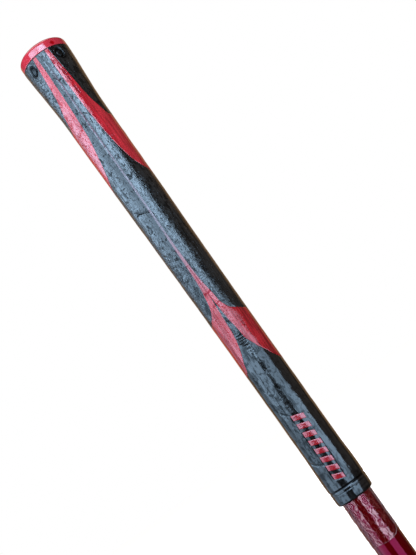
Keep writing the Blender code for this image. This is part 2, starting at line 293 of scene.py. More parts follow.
def smooth_through(stations, steps, closed=False):
    """Points on a Catmull-Rom curve through the stations, with the stations among them."""
    points = np.array(stations, dtype=float)
    if closed:
        turn = np.array([0.0, 360.0, 0.0, 360.0])
        padded = np.vstack([points[-1] - turn, points, points[0] + turn, points[1] + turn])
    else:
        padded = np.vstack([2 * points[0] - points[1], points, 2 * points[-1] - points[-2]])
    curve = []
    for k in range(len(padded) - 3):
        a, b, c, d = padded[k:k + 4]
        for t in np.arange(steps) / steps:
            slope = c - a
            bend = 2 * a - 5 * b + 4 * c - d
            twist = 3 * (b - c) + d - a
            curve.append(b + 0.5 * t * (slope + t * (bend + t * twist)))
    if not closed:
        curve.append(points[-1])
    return np.array(curve)


SLEEVE_OUTLINE = smooth_through(SLEEVE_PROFILE, 12)


def radius_at(height):
    """Outside radius of the sleeve, in millimetres."""
    return np.interp(height, SLEEVE_OUTLINE[:, 0], SLEEVE_OUTLINE[:, 1]) / 2


def place(radius, height, angle):
    """Points in metres, from radii and heights in millimetres and angles in degrees."""
    turn = np.radians(angle)
    z = MOUTH_Z + height * MM
    return np.stack(np.broadcast_arrays(radius * MM * np.sin(turn), -radius * MM * np.cos(turn), z), -1)


def wavy(seed, cell_height, cells_round):
    """Smooth noise from -1 to 1 over the unrolled grip, which closes round it."""
    rows = int((NOISE_TOP - NOISE_BOTTOM) / cell_height) + 4
    values = np.random.RandomState(seed).uniform(-1.0, 1.0, (rows, cells_round))

    def sample(height, angle):
        down = (np.asarray(height) - NOISE_BOTTOM) / cell_height
        across = np.asarray(angle) / 360.0 * cells_round
        row, column = np.floor(down).astype(int), np.floor(across).astype(int)
        v, u = down - row, across - column
        v, u = v * v * (3 - 2 * v), u * u * (3 - 2 * u)
        row = np.clip(row, 0, rows - 2)
        left, right = column % cells_round, (column + 1) % cells_round
        upper = values[row, left] * (1 - u) + values[row, right] * u
        lower = values[row + 1, left] * (1 - u) + values[row + 1, right] * u
        return upper * (1 - v) + lower * v
    return sample


# Noise fields: seed, height of a cell in millimetres, and cells round the grip.
LUMPS = wavy(11, 6.5, 17)
DIMPLES = wavy(12, 3.1, 31)
WRINKLES = wavy(13, 1.9, 46)
DRIFT = wavy(14, 9.0, 13)
TAPE_BLISTERS = wavy(21, 2.6, 21)
TAPE_CREASES = wavy(22, 3.4, 13)
TAPE_DRIFT = wavy(23, 5.0, 9)


def wrap(angle):
    """The same angle between -180 and 180 degrees."""
    return (angle + 180.0) % 360.0 - 180.0


def degree_length(height):
    """Length of one degree round the sleeve, in millimetres."""
    return math.radians(1.0) * radius_at(height)


def line_dent(height, angle, lines):
    """Depth, in millimetres, of narrow dents along straight lines over the unrolled grip."""
    scale = degree_length(height)
    depth = np.zeros(np.shape(height))
    for h0, a0, h1, a1, width, deep in lines:
        x, y = wrap(angle - a0) * scale, height - h0
        dx, dy = (a1 - a0) * scale, h1 - h0
        share = np.clip((x * dx + y * dy) / (dx * dx + dy * dy), 0.0, 1.0)
        away = np.hypot(x - share * dx, y - share * dy)
        depth = np.maximum(depth, deep * (1.0 - smoothstep(0.35 * width, 1.35 * width, away)))
    return depth


def oval_dent(height, angle):
    """Depth, in millimetres, of the sunk ovals: a deeper ring round a middle."""
    depth = np.zeros(np.shape(height))
    for h0, a0 in OVALS:
        x = wrap(angle - a0) * degree_length(height) / OVAL_HALF_WIDTH
        y = (height - h0) / OVAL_HALF_HEIGHT
        off_line = (np.hypot(x, y) - 1.0) * OVAL_HALF_WIDTH
        ring = 1.0 - smoothstep(0.5 * OVAL_GROOVE, 1.3 * OVAL_GROOVE, np.abs(off_line))
        depth = np.maximum.reduce([depth, ring, OVAL_MIDDLE * (off_line < 0.0)])
    return OVAL_DEPTH * depth


def ring_groove(height):
    """The groove above the mouth, from 0 at its sides to 1 at its bottom."""
    return 1.0 - np.clip(np.abs(height - GROOVE_HEIGHT) / (GROOVE_WIDTH / 2), 0.0, 1.0)


def centre_angle(height):
    """Angle of the front line, which the fitted sleeve's slight twist turns."""
    return np.interp(height, (141.5, 260.0), (-10.3, -3.3))


def emblem_sink(height, angle):
    """How far the sleeve is sunk round the emblem's bars."""
    slant = EMBLEM_SLANT * (angle - EMBLEM_LEFT) / (EMBLEM_RIGHT - EMBLEM_LEFT)
    level = height + slant
    bottom = EMBLEM_TOP - (EMBLEM_BARS - 1) * EMBLEM_PITCH - EMBLEM_BAR_HEIGHT
    right = EMBLEM_RIGHT + EMBLEM_RIGHT_STEP * (EMBLEM_TOP - level) / EMBLEM_PITCH
    scale = degree_length(height)
    inside = np.minimum.reduce([
        EMBLEM_TOP - level, level - bottom, (angle - EMBLEM_LEFT) * scale, (right - angle) * scale,
    ])
    return EMBLEM_SUNK * smoothstep(-EMBLEM_BORDER, 0.0, inside)


def relief(height, angle):
    """Small rise and fall of the worn surface, in millimetres."""
    worn = 0.8 + 0.2 * smoothstep(80.0, 130.0, height)
    warped = angle + 3.0 * DRIFT(height, angle)
    rise = LUMP_RISE * LUMPS(height, warped) + DIMPLE_RISE * DIMPLES(height, warped)
    ridge = 1.0 - np.abs(WRINKLES(height, warped + 4.0 * DIMPLES(height, angle)))
    return worn * (rise + WRINKLE_RISE * ridge * ridge)


def sleeve_dents(height, angle):
    """Dents of the black sleeve only: line, cracks, creases, ovals and ring groove."""
    scale = degree_length(height)
    off_line = np.abs(wrap(angle - centre_angle(height))) * scale
    line = 1.0 - smoothstep(0.15, 0.6, off_line)
    line = FRONT_LINE_DEPTH * line * smoothstep(190.0, 204.0, height)
    faint = 1.0 - smoothstep(0.1, 0.35, np.abs(height - FAINT_LINE_HEIGHT))
    marks = line_dent(height, angle, CRACKS + CREASES) + oval_dent(height, angle)
    return line + GROOVE_DEPTH * ring_groove(height) + FAINT_LINE_DEPTH * faint + marks


def new_object(name, points, faces):
    """A smooth-shaded object from points and faces, in the scene."""
    mesh = bpy.data.meshes.new(name)
    mesh.from_pydata(points.reshape(-1, 3).tolist(), [], faces)
    mesh.validate()
    mesh.shade_smooth()
    obj = bpy.data.objects.new(name, mesh)
    bpy.context.scene.collection.objects.link(obj)
    return obj


def add_number(obj, name, values):
    """A number for each point of a mesh, which its material reads by name."""
    attribute = obj.data.attributes.new(name, "FLOAT", "POINT")
    attribute.data.foreach_set("value", np.asarray(values, dtype=np.float32).ravel())


def grid_faces(rows, columns, close_rows=False, close_columns=False):
    """Faces of a grid whose points run along each row first."""
    faces = []
    for r in range(rows if close_rows else rows - 1):
        after = (r + 1) % rows
        for c in range(columns if close_columns else columns - 1):
            right = (c + 1) % columns
            corners = (r, c), (after, c), (after, right), (r, right)
            faces.append(tuple(row * columns + column for row, column in corners))
    return faces


def turned(name, profile, columns, relief_of=None):
    """A closed ring turned from (radius, height) points that run down its outside."""
    profile = np.array(profile)
    angle = np.repeat((np.arange(columns) * 360.0 / columns)[None, :], len(profile), axis=0)
    radius = np.repeat(profile[:, :1], columns, axis=1)
    height = np.repeat(profile[:, 1:], columns, axis=1)
    if relief_of:
        radius = radius + relief_of(height, angle, radius)
    faces = grid_faces(len(profile), columns, close_rows=True, close_columns=True)
    return new_object(name, place(radius, height, angle), faces), height, angle, radius


def corner(centre_radius, centre_height, size, start, end, steps):
    """(radius, height) points on an arc of the given size, between two angles in degrees."""
    turns = np.radians(np.linspace(start, end, steps + 1))
    return [(centre_radius + size * math.cos(t), centre_height + size * math.sin(t)) for t in turns]


def boundary_edges(faces):
    """Edges with one face only, each in the direction of that face."""
    seen = {}
    for face in faces:
        for k, start in enumerate(face):
            end = face[(k + 1) % len(face)]
            key = (min(start, end), max(start, end))
            seen[key] = None if key in seen else (start, end)
    return [edge for edge in seen.values() if edge]


def band_grid(stations, columns):
    """Heights and angles ruled between a band's two edges, one row for each station."""
    share = np.linspace(0.0, 1.0, columns)[None, :]
    height = stations[:, 0:1] * (1 - share) + stations[:, 2:3] * share
    angle = stations[:, 1:2] * (1 - share) + stations[:, 3:4] * share
    return height, angle


def on_sleeve(height, angle):
    """Points on the sleeve's plain outside, in millimetres."""
    return place(radius_at(height), height, angle) / MM


def search_tree(points, chosen):
    """A tree that finds the nearest of the chosen points."""
    tree = kdtree.KDTree(len(chosen))
    for k in chosen:
        tree.insert(points[k], k)
    tree.balance()
    return tree


def distance_inside(height, angle, faces):
    """Each point's distance from the outline of its sheet, in millimetres."""
    rim = sorted({k for edge in boundary_edges(faces) for k in edge})
    points = on_sleeve(height, angle)
    tree = search_tree(points, rim)
    return np.array([tree.find(point)[2] for point in points])


def closed_sheet(name, outer, inner, height, angle, faces):
    """A thin closed piece between an outer and an inner radius at each point."""
    count = height.size
    rim = [(b, a, a + count, b + count) for a, b in boundary_edges(faces)]
    back = [tuple(k + count for k in reversed(face)) for face in faces]
    points = np.concatenate([place(outer, height, angle), place(inner, height, angle)])
    return new_object(name, points, faces + back + rim)


def inlay(name, height, angle, faces, lift, depth, dip, feather=False, stem_above=math.inf):
    """A thin closed piece over the grip, which dips a little at its edge, but not on its stem.

    A feathered one is thin at its edge, where the sleeve below isn't lowered yet.
    """
    inside = distance_inside(height, angle, faces)
    edge = 1.0 - smoothstep(0.0, 0.3, inside)
    dents = line_dent(height, angle, CRACKS + GOUGES)
    on_stem = height > stem_above
    outer = radius_at(height) + relief(height, angle) + lift - dip * edge * ~on_stem
    thickness = depth
    if feather:
        thickness = FEATHER + (depth - FEATHER) * smoothstep(0.2, 1.0, inside)
    obj = closed_sheet(name, outer, outer - thickness, height, angle, faces)
    add_number(obj, "inside", np.concatenate([inside, inside]))
    # Painted shade: the cracks and gouges aren't cut into the inlay; its material paints them dark and
    # bumps them.
    add_number(obj, "dent_shade", np.concatenate([dents, dents]))
    add_number(obj, "stem", np.concatenate([on_stem, on_stem]).astype(float))
    return obj, inside


def flame_inlay(name, height, angle, faces, **options):
    """A flame's piece, with the heights, angles and distances from its edge of its points."""
    faces = facing_out(height, angle, faces)
    flame, inside = inlay(
        name, height, angle, faces, FLAME_PROUD, FLAME_DEPTH, FLAME_DIP, feather=True, **options,
    )
    return flame, height, angle, inside


def facing_out(height, angle, faces):
    """The faces, turned over if they look inwards."""
    a, b, c, _ = faces[len(faces) // 2]
    corners = on_sleeve(height[[a, b, c]], angle[[a, b, c]])
    normal = np.cross(corners[1] - corners[0], corners[2] - corners[0])
    outwards = np.array([corners[0][0], corners[0][1], 0.0])
    return faces if normal @ outwards > 0 else [tuple(reversed(face)) for face in faces]


def make_upper_flame():
    height, angle = band_grid(smooth_through(UPPER_FLAME, FLAME_STEPS), FLAME_COLUMNS)
    faces = grid_faces(*height.shape)
    return flame_inlay("upper_flame_inlay", height.ravel(), angle.ravel(), faces)


def make_lower_flame():
    """The ring round the spear and its stem, which share points where they meet."""
    stations = smooth_through(LOWER_FLAME, FLAME_STEPS, closed=True)
    ring_height, ring_angle = band_grid(stations, FLAME_COLUMNS)
    rows, columns = ring_height.shape
    faces = [tuple(reversed(face)) for face in grid_faces(rows, columns, close_rows=True)]
    joint = [(k % rows) * columns for k in range(-FLAME_STEPS, FLAME_STEPS + 1)]
    stem = smooth_through(STEM, STEM_STEPS)[:-1]
    share = np.linspace(0.0, 1.0, len(joint))[None, :]
    stem_height = np.repeat(stem[:, :1], len(joint), axis=1)
    blend = smoothstep(STEM[-2][0], STEM[-1][0], stem_height)
    joint_height = ring_height[[k // columns for k in joint], 0][None, :]
    stem_height = stem_height + blend * (joint_height - STEM[-1][0])
    stem_angle = stem[:, 1:2] * (1 - share) + stem[:, 2:3] * share
    first = rows * columns
    across = len(joint)
    grid = np.arange(len(stem) * across).reshape(len(stem), across) + first
    grid = np.vstack([grid, joint])
    for upper, lower in zip(grid, grid[1:]):
        for c in range(across - 1):
            faces.append((int(upper[c]), int(lower[c]), int(lower[c + 1]), int(upper[c + 1])))
    height = np.concatenate([ring_height.ravel(), stem_height.ravel()])
    angle = np.concatenate([ring_angle.ravel(), stem_angle.ravel()])
    return flame_inlay("lower_flame_inlay", height, angle, faces, stem_above=STEM[-1][0])


def make_bar(number):
    """One slanted bar of the emblem, numbered from 0 at the top."""
    left_height = EMBLEM_TOP - number * EMBLEM_PITCH
    right = EMBLEM_RIGHT + number * EMBLEM_RIGHT_STEP
    share = np.linspace(0.0, 1.0, BAR_COLUMNS)
    top = left_height - share * EMBLEM_SLANT
    angle = EMBLEM_LEFT + share * (right - EMBLEM_LEFT)
    stations = np.stack([top, angle, top - EMBLEM_BAR_HEIGHT, angle], axis=1)
    height, angle = band_grid(stations, BAR_ROWS)
    faces = grid_faces(*height.shape)
    height, angle = height.ravel(), angle.ravel()
    faces = facing_out(height, angle, faces)
    name = f"emblem_bar_{number + 1}_fill"
    lift = -EMBLEM_BAR_SUNK
    bar, _ = inlay(name, height, angle, faces, lift, EMBLEM_BAR_DEPTH, EMBLEM_BAR_DIP)
    return bar


def pocket_depth(height, angle, flames):
    """How far the sleeve is lowered under the flames, for each of its points."""
    points = on_sleeve(height, angle)
    depth = np.zeros(len(height))
    for _, flame_height, flame_angle, inside in flames:
        flame_points = on_sleeve(flame_height, flame_angle)
        tree = search_tree(flame_points, range(len(flame_points)))
        for k, point in enumerate(points):
            _, nearest, away = tree.find(point)
            if away < POCKET_MARGIN and inside[nearest] > POCKET_MARGIN:
                depth[k] = POCKET_DEPTH
    return depth


def outside_heights():
    """Heights of the sleeve's rows, closer where the shape has more detail."""
    stretches = (
        (SLEEVE_RIM, 245.0, 0.42), (245.0, 180.0, 0.9), (180.0, 153.0, 0.45), (153.0, 143.0, 0.8),
        (143.0, 124.0, 0.5), (124.0, 92.0, 0.9), (92.0, 83.0, 0.28), (83.0, 52.0, 0.9),
        (52.0, 8.4, 0.4), (8.4, 4.6, 0.2), (4.6, LIP_RADIUS, 0.4),
    )
    heights = []
    for start, end, step in stretches:
        count = int(math.ceil((start - end) / step))
        heights += [start + (end - start) * k / count for k in range(count)]
    return heights


def make_sleeve(flames):
    """The black sleeve, lowered under the flames and round the emblem, with its dents and bore."""
    heights = outside_heights()
    rows = [(radius_at(height), height) for height in heights]
    lip = corner(radius_at(0.0) - LIP_RADIUS, LIP_RADIUS, LIP_RADIUS, 0.0, -90.0, 7)
    rim_centre = radius_at(SLEEVE_RIM) - RIM_ROUNDING
    rim = corner(rim_centre, SLEEVE_RIM, RIM_ROUNDING, 90.0, 0.0, 3)[:-1]
    bore = [(BORE_RADIUS, 0.0), (BORE_RADIUS, SLEEVE_RIM + RIM_ROUNDING)]
    profile = np.array(rim + rows + lip + bore)
    is_outside = np.zeros(len(profile), dtype=bool)
    is_outside[:-len(bore)] = True

    angle = np.arange(SLEEVE_COLUMNS) * 360.0 / SLEEVE_COLUMNS - 180.0
    radius = np.repeat(profile[:, :1], SLEEVE_COLUMNS, axis=1)
    height = np.repeat(profile[:, 1:], SLEEVE_COLUMNS, axis=1)
    angle = np.repeat(angle[None, :], len(profile), axis=0)
    h, a = height[is_outside], angle[is_outside]
    dents = sleeve_dents(h, a)
    sunk = pocket_depth(h.ravel(), a.ravel(), flames).reshape(h.shape)
    sunk = sunk + emblem_sink(h, wrap(a))
    radius[is_outside] += relief(h, a) * smoothstep(0.0, 1.5, h) - dents - sunk
    faces = grid_faces(len(profile), SLEEVE_COLUMNS, close_rows=True, close_columns=True)
    sleeve = new_object("sleeve_skin", place(radius, height, angle), faces)
    sleeve.data.set_sharp_from_angle(angle=math.radians(75.0))
    # Painted shade: the dents' depths, with GROOVE_SHADE added in the ring groove, go to the material,
    # which darkens them as shade.
    dent_shade_values = np.zeros(height.shape)
    shade = np.minimum(GROOVE_SHADE_RISE * ring_groove(h), 1.0)
    dent_shade_values[is_outside] = dents + GROOVE_SHADE * shade
    add_number(sleeve, "dent_shade", dent_shade_values)
    off_line = np.abs(wrap(angle - centre_angle(height))) * math.radians(1.0) * radius
    seam = (1.0 - smoothstep(0.12, 0.4, off_line)) * smoothstep(198.0, 206.0, height)
    add_number(sleeve, "seam", seam * smoothstep(256.0, 236.0, height))
    return sleeve


def make_cap():
    """The cap, from its vent out over the dish and the crown, down the band and in to the plug."""
    shoulder = CAP_TOP - CAP_CROWN_HEIGHT
    band = np.linspace(shoulder, CAP_UNDERSIDE, 14)
    dish_floor = CAP_TOP - CAP_DISH_DEPTH
    rounding = CAP_DISH_ROUNDING
    profile = [(radius, dish_floor) for radius in (CAP_VENT_RADIUS, 2.2, 3.0)]
    profile += corner(CAP_DISH_RADIUS - CAP_DISH_SLOPE, dish_floor + rounding, rounding, -90.0, -30.0, 3)
    profile += corner(CAP_DISH_RADIUS, CAP_TOP - rounding, rounding, 150.0, 90.0, 3)
    profile += [(radius, CAP_TOP) for radius in (4.0, 4.6)]
    for turn in np.radians(np.linspace(90.0, 0.0, 33)):
        radius = CAP_RADIUS - CAP_CROWN_WIDTH * (1.0 - math.cos(turn))
        profile.append((radius, shoulder + CAP_CROWN_HEIGHT * math.sin(turn)))
    profile += [(CAP_RADIUS, height) for height in band[1:-1]]
    edge = CAP_EDGE_ROUNDING
    profile += corner(CAP_RADIUS - edge, CAP_UNDERSIDE + edge, edge, 0.0, -90.0, 3)
    plug_end = CAP_UNDERSIDE - CAP_PLUG_LENGTH
    profile += [(CAP_PLUG_RADIUS, CAP_UNDERSIDE), (CAP_PLUG_RADIUS, plug_end)]
    profile += [(CAP_VENT_RADIUS, plug_end)]
    cap, height, angle, radius = turned("cap_shell", profile, CAP_COLUMNS, cap_relief)
    away = gate_distance(height, angle)
    outer = (radius > CAP_RADIUS - 1.0)
    add_number(cap, "gate", np.where(outer, 1.0 - smoothstep(0.95, 1.3, away), 0.0))
    cap.data.set_sharp_from_angle(angle=math.radians(50.0))
    return cap


def gate_distance(height, angle):
    """Distance from the middle of the round gate mark on the cap's band, in millimetres."""
    across = wrap(angle - GATE_ANGLE) * math.radians(1.0) * CAP_RADIUS
    return np.hypot(across, height - GATE_HEIGHT)


def cap_relief(height, angle, radius):
    """Slight unevenness of the cap's band, and the sunk gate mark, in millimetres."""
    on_band = smoothstep(CAP_RADIUS - 2.0, CAP_RADIUS - 0.4, radius) * (height > CAP_UNDERSIDE + 0.1)
    mark = GATE_DEPTH * (1.0 - smoothstep(0.8, 1.2, gate_distance(height, angle)))
    return on_band * (0.03 * LUMPS(height, angle) - mark)


def make_shaft():
    """The stub of the shaft: a tube with rounded edges at its cut end."""
    inner = SHAFT_RADIUS - SHAFT_WALL
    edge = SHAFT_EDGE_ROUNDING
    bore_edge = SHAFT_BORE_ROUNDING
    lengths = np.linspace(1.0, SHAFT_BOTTOM + edge, 60)
    profile = [(SHAFT_RADIUS, SHAFT_TOP)]
    profile += [(SHAFT_RADIUS, height) for height in lengths]
    profile += corner(SHAFT_RADIUS - edge, SHAFT_BOTTOM + edge, edge, 0.0, -90.0, 4)[1:]
    profile += corner(inner + bore_edge, SHAFT_BOTTOM + bore_edge, bore_edge, -90.0, -180.0, 3)
    profile += [(inner, SHAFT_TOP)]
    shaft, height, _, radius = turned("shaft_tube", profile, SHAFT_COLUMNS)
    bare = np.maximum(radius < SHAFT_RADIUS - 0.25, height < SHAFT_BOTTOM + 0.05)
    add_number(shaft, "bare", bare.astype(float))
    shaft.data.set_sharp_from_angle(angle=math.radians(50.0))
    return shaft


def tape_rise(height, angle):
    """Creases and blisters of the film, in millimetres."""
    blister = np.maximum(TAPE_BLISTERS(height, angle + 5.0 * TAPE_DRIFT(height, angle)), 0.0)
    crease = 1.0 - np.abs(TAPE_CREASES(height + 1.5 * TAPE_DRIFT(height, angle), angle))
    return TAPE_BLISTER_RISE * blister + TAPE_CREASE_RISE * crease ** 6


def make_tape():
    """The film wraps the shaft lengthwise: its long edges leave a seam, with rounded corners."""
    half_seam = TAPE_SEAM_WIDTH / 2
    span = 360.0 - TAPE_SEAM_WIDTH
    along = np.linspace(0.0, 1.0, TAPE_COLUMNS)
    angle = TAPE_SEAM_ANGLE + half_seam + span * along
    from_seam = np.minimum(along, 1.0 - along) * math.radians(span) * TAPE_RADIUS
    short = np.clip(TAPE_CORNER - from_seam, 0.0, TAPE_CORNER)
    bottom = TAPE_BOTTOM + TAPE_CORNER - np.sqrt(TAPE_CORNER ** 2 - short ** 2)
    bottom = bottom + 0.3 * TAPE_DRIFT(np.zeros(TAPE_COLUMNS), angle)
    visible = np.linspace(0.0, 1.0, TAPE_ROWS)[:, None]
    height = bottom[None, :] + (TAPE_HIDDEN_FROM - bottom[None, :]) * visible
    hidden = np.full((1, TAPE_COLUMNS), TAPE_TOP)
    height = np.vstack([height, hidden])
    angle = np.repeat(angle[None, :], len(height), axis=0)
    fade = smoothstep(TAPE_HIDDEN_FROM, TAPE_HIDDEN_FROM - 2.0, height)
    outer = TAPE_RADIUS + fade * tape_rise(height, angle)
    inner = np.full(height.shape, TAPE_RADIUS - TAPE_THICKNESS)
    faces = facing_out(height.ravel(), angle.ravel(), grid_faces(*height.shape))
    tape = closed_sheet("tape_film_wrap", outer, inner, height, angle, faces)
    from_edge = np.minimum(np.broadcast_to(from_seam, height.shape), height - bottom[None, :])
    edge = 1.0 - smoothstep(0.15, 0.5, from_edge)
    add_number(tape, "edge", np.concatenate([edge.ravel(), edge.ravel()]))
    tape.data.set_sharp_from_angle(angle=math.radians(60.0))
    return tape


class Nodes:
    """Short calls for building a material's nodes."""

    def __init__(self, name):
        self.material = bpy.data.materials.new(name)
        self.material.use_nodes = True
        self.tree = self.material.node_tree
        self.shader = self.tree.nodes["Principled BSDF"]
        coordinates = self.tree.nodes.new("ShaderNodeTexCoord")
        self.position = coordinates.outputs["Object"]

    def link(self, source, socket):
        """Sets a socket to a number or colour, or links another node's output to it."""
        if isinstance(source, (int, float)):
            socket.default_value = source
        elif isinstance(source, tuple):
            socket.default_value = (*source, 1.0) if len(socket.default_value) == 4 else source
        else:
            self.tree.links.new(source, socket)

    def stretched(self, along):
        """Positions scaled along the grip, so that a share below 1 draws features out."""
        mapping = self.tree.nodes.new("ShaderNodeMapping")
        mapping.inputs["Scale"].default_value = (1.0, 1.0, along)
        self.link(self.position, mapping.inputs["Vector"])
        return mapping.outputs["Vector"]

    def noise(self, size_mm, detail=2.0, roughness=0.55, along=1.0, distortion=0.0):
        """Noise with features of about size_mm."""
        noise = self.tree.nodes.new("ShaderNodeTexNoise")
        noise.inputs["Scale"].default_value = 1.0 / (size_mm * MM)
        noise.inputs["Detail"].default_value = detail
        noise.inputs["Roughness"].default_value = roughness
        noise.inputs["Distortion"].default_value = distortion
        self.link(self.stretched(along), noise.inputs["Vector"])
        return noise.outputs["Fac"]

    def cells(self, size_mm, along=1.0, wobble=0.0):
        """Distance to the edges of irregular cells of about size_mm."""
        voronoi = self.tree.nodes.new("ShaderNodeTexVoronoi")
        voronoi.feature = "DISTANCE_TO_EDGE"
        voronoi.inputs["Scale"].default_value = 1.0 / (size_mm * MM)
        vector = self.stretched(along)
        if wobble:
            warp = self.tree.nodes.new("ShaderNodeTexNoise")
            warp.inputs["Scale"].default_value = 0.7 / (size_mm * MM)
            self.link(vector, warp.inputs["Vector"])
            push = self.tree.nodes.new("ShaderNodeVectorMath")
            push.operation = "MULTIPLY_ADD"
            self.link(warp.outputs["Color"], push.inputs[0])
            push.inputs[1].default_value = (wobble * MM,) * 3
            self.link(vector, push.inputs[2])
            vector = push.outputs["Vector"]
        self.link(vector, voronoi.inputs["Vector"])
        return voronoi.outputs["Distance"]

    def remap(self, value, low, high, to_low=0.0, to_high=1.0):
        """A smooth step between two numbers, while the value goes from low to high."""
        ramp = self.tree.nodes.new("ShaderNodeMapRange")
        ramp.interpolation_type = "SMOOTHSTEP"
        self.link(value, ramp.inputs["Value"])
        ramp.inputs["From Min"].default_value = low
        ramp.inputs["From Max"].default_value = high
        ramp.inputs["To Min"].default_value = to_low
        ramp.inputs["To Max"].default_value = to_high
        return ramp.outputs["Result"]

    def math(self, operation, first, second=0.0, third=0.0):
        node = self.tree.nodes.new("ShaderNodeMath")
        node.operation = operation
        self.link(first, node.inputs[0])
        self.link(second, node.inputs[1])
        if operation == "MULTIPLY_ADD":
            self.link(third, node.inputs[2])
        return node.outputs["Value"]

    def mix(self, share, first, second):
        node = self.tree.nodes.new("ShaderNodeMix")
        node.data_type = "RGBA"
        self.link(share, node.inputs["Factor"])
        self.link(first, node.inputs["A"])
        self.link(second, node.inputs["B"])
        return node.outputs["Result"]

    def attribute(self, name):
        node = self.tree.nodes.new("ShaderNodeAttribute")
        node.attribute_name = name
        return node.outputs["Fac"]

    def axis_mm(self, axis, origin=0.0):
        """Position along one axis, in millimetres from an origin in metres."""
        split = self.tree.nodes.new("ShaderNodeSeparateXYZ")
        self.link(self.position, split.inputs["Vector"])
        return self.math("DIVIDE", self.math("SUBTRACT", split.outputs[axis], origin), MM)

    def bump(self, height, distance_mm):
        node = self.tree.nodes.new("ShaderNodeBump")
        node.inputs["Distance"].default_value = distance_mm * MM
        self.link(height, node.inputs["Height"])
        self.link(node.outputs["Normal"], self.shader.inputs["Normal"])

    def set(self, **sockets):
        """Sets or links sockets of the shader, named with underscores for spaces."""
        for name, value in sockets.items():
            self.link(value, self.shader.inputs[name.replace("_", " ")])


def rub_streaks(nodes):
    """Fine streaks along the grip."""
    return nodes.noise(0.9, roughness=0.6, along=0.06)


def worn_skin(nodes, speckle):
    """The wear that both elastomers share: bump height, roughness, pit and crack marks, which the
    materials darken as painted shade, and dust.

    It is lighter towards the mouth and towards +X, the right in the front view, so that side is smoother
    and has less dust, which keeps it darker.
    """
    height = nodes.axis_mm("Z", MOUTH_Z)
    less_worn_towards_x = nodes.remap(nodes.axis_mm("X"), 2.8, 4.6, 1.0, 0.5)
    worn = nodes.math("MULTIPLY", nodes.remap(height, 72.0, 108.0, 0.2, 1.0), less_worn_towards_x)
    grain = nodes.noise(0.7, roughness=0.6, along=0.6)
    specks = nodes.math("MULTIPLY", nodes.remap(grain, 0.54, 0.62), worn)
    patches = nodes.noise(2.0, detail=3.0, roughness=0.6, along=0.5, distortion=0.5)
    scuffed = nodes.math("MULTIPLY", nodes.remap(patches, 0.5, 0.68), worn)
    streaks = rub_streaks(nodes)
    edges = nodes.cells(2.6, along=0.45, wobble=2.4)
    broken = nodes.remap(nodes.noise(5.0), 0.56, 0.66)
    cracks = nodes.math("MULTIPLY", nodes.remap(edges, 0.01, 0.1, 1.0, 0.0), broken)
    pits = nodes.remap(nodes.noise(1.1, detail=1.0, along=0.7), 0.68, 0.74)
    marks = nodes.math("MULTIPLY", nodes.math("MAXIMUM", pits, cracks), worn)
    rise = nodes.math("MULTIPLY_ADD", grain, -speckle, nodes.math("MULTIPLY", patches, 0.7))
    rise = nodes.math("MULTIPLY_ADD", streaks, 1.0, rise)
    rise = nodes.math("MULTIPLY_ADD", marks, -0.6 - 0.8 * speckle, rise)
    rise = nodes.math("MULTIPLY", rise, worn)
    near_cap = nodes.remap(height, 225.0, 250.0, 0.07, 0.1)
    rough = nodes.math("MULTIPLY_ADD", specks, 0.4 * speckle, near_cap)
    rough = nodes.math("MULTIPLY_ADD", scuffed, 0.5, rough)
    rough = nodes.math("MULTIPLY_ADD", marks, 0.2, rough)
    dust = nodes.math("MULTIPLY", nodes.remap(streaks, 0.42, 0.62), worn)
    return rise, rough, marks, dust


def black_elastomer():
    """Black rubber. A metallic share with a near-black colour takes the reflection out of its dull
    blotches, and paints shade into its pits, cracks, dents and ring groove.
    """
    nodes = Nodes("black_elastomer_worn")
    rise, rough, marks, dust = worn_skin(nodes, 1.0)
    height = nodes.axis_mm("Z", MOUTH_Z)
    dent_shade = nodes.remap(nodes.attribute("dent_shade"), 0.02, 0.14)
    dusty = nodes.mix(dust, (0.002, 0.002, 0.002), (0.013, 0.012, 0.011))
    # Painted shade: pits, cracks and dents are mixed to near black.
    colour = nodes.mix(nodes.math("MAXIMUM", marks, dent_shade), dusty, (0.001, 0.001, 0.001))
    colour = nodes.mix(nodes.attribute("seam"), colour, (0.07, 0.012, 0.02))
    blotches = nodes.noise(2.4, roughness=0.6, along=0.7, distortion=0.8)
    fine = nodes.noise(1.3, roughness=0.6, along=0.14)
    porous = nodes.math("MAXIMUM", nodes.remap(blotches, 0.5, 0.62), nodes.remap(fine, 0.54, 0.66))
    amount = nodes.remap(height, 128.0, 145.0, 0.66, 0.18)
    across = nodes.axis_mm("X")
    amount = nodes.math("MULTIPLY", amount, nodes.remap(across, 2.0, 4.4, 1.0, 0.5))
    upper = nodes.remap(height, 128.0, 145.0)
    upper_right = nodes.math("MULTIPLY", upper, nodes.remap(across, 3.8, 4.8, 0.0, 0.65))
    amount = nodes.math("MAXIMUM", amount, upper_right)
    dull_and_shade = nodes.math("MULTIPLY", porous, amount)
    # Painted shade: pits, cracks, dents and the ring groove lose their reflection through the metallic
    # share.
    dull_and_shade = nodes.math("MAXIMUM", dull_and_shade, nodes.math("MULTIPLY", marks, 0.6))
    dull_and_shade = nodes.math("MAXIMUM", dull_and_shade, nodes.remap(nodes.attribute("dent_shade"), 0.15, 0.5, 0.0, 0.85))
    nodes.bump(rise, 0.13)
    nodes.set(Base_Color=colour, Roughness=nodes.math("MULTIPLY_ADD", dent_shade, 0.12, rough))
    nodes.set(Metallic=dull_and_shade, IOR=1.5)
    return nodes.material


